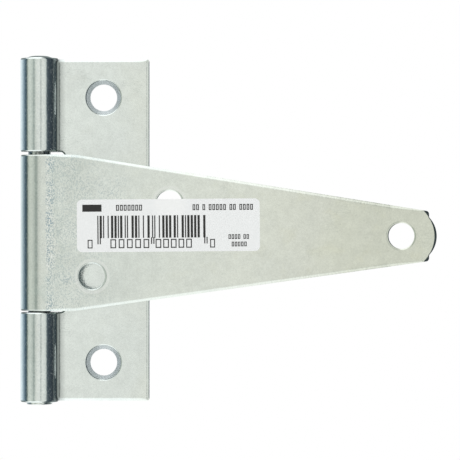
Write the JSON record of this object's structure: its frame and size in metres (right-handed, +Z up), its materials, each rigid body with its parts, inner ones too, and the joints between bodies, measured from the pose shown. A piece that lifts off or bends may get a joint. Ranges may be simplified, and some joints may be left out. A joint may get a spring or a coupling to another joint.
{
  "type": "t hinge",
  "caption": "Strap T hinge in zinc-plated steel: a rectangular post leaf and a long tapered strap leaf, rolled round one headed pin, with countersunk screw holes.",
  "frame": {"origin": "centre of the post leaf's two screw holes, on its flat mounting face", "axes": "+X from the pin towards the strap's tip with the hinge closed, +Y out of the post leaf's mounting face into the post, +Z up along the pin"},
  "size_m": [0.1065, 0.0099, 0.0892],
  "materials": {
    "zinc_plate": "bright zinc plate on pressed steel sheet, satin with faint rolling marks and scratches",
    "zinc_pin": "bright zinc plate on a turned pin with peened heads",
    "label_paper": null
  },
  "bodies": {
    "post_side": {"post_leaf": "zinc_plate", "hinge_pin": "zinc_pin"},
    "strap_side": {"strap_leaf": "zinc_plate", "barcode_label": "label_paper"}
  },
  "joints": [
    {"name": "strap_swing", "type": "hinge", "parent": "post_side", "child": "strap_side", "pos_m": [-0.0163, -0.00492, 0], "axis": [0, 0, -1], "range_deg": [-11.5, 275]}
  ]
}
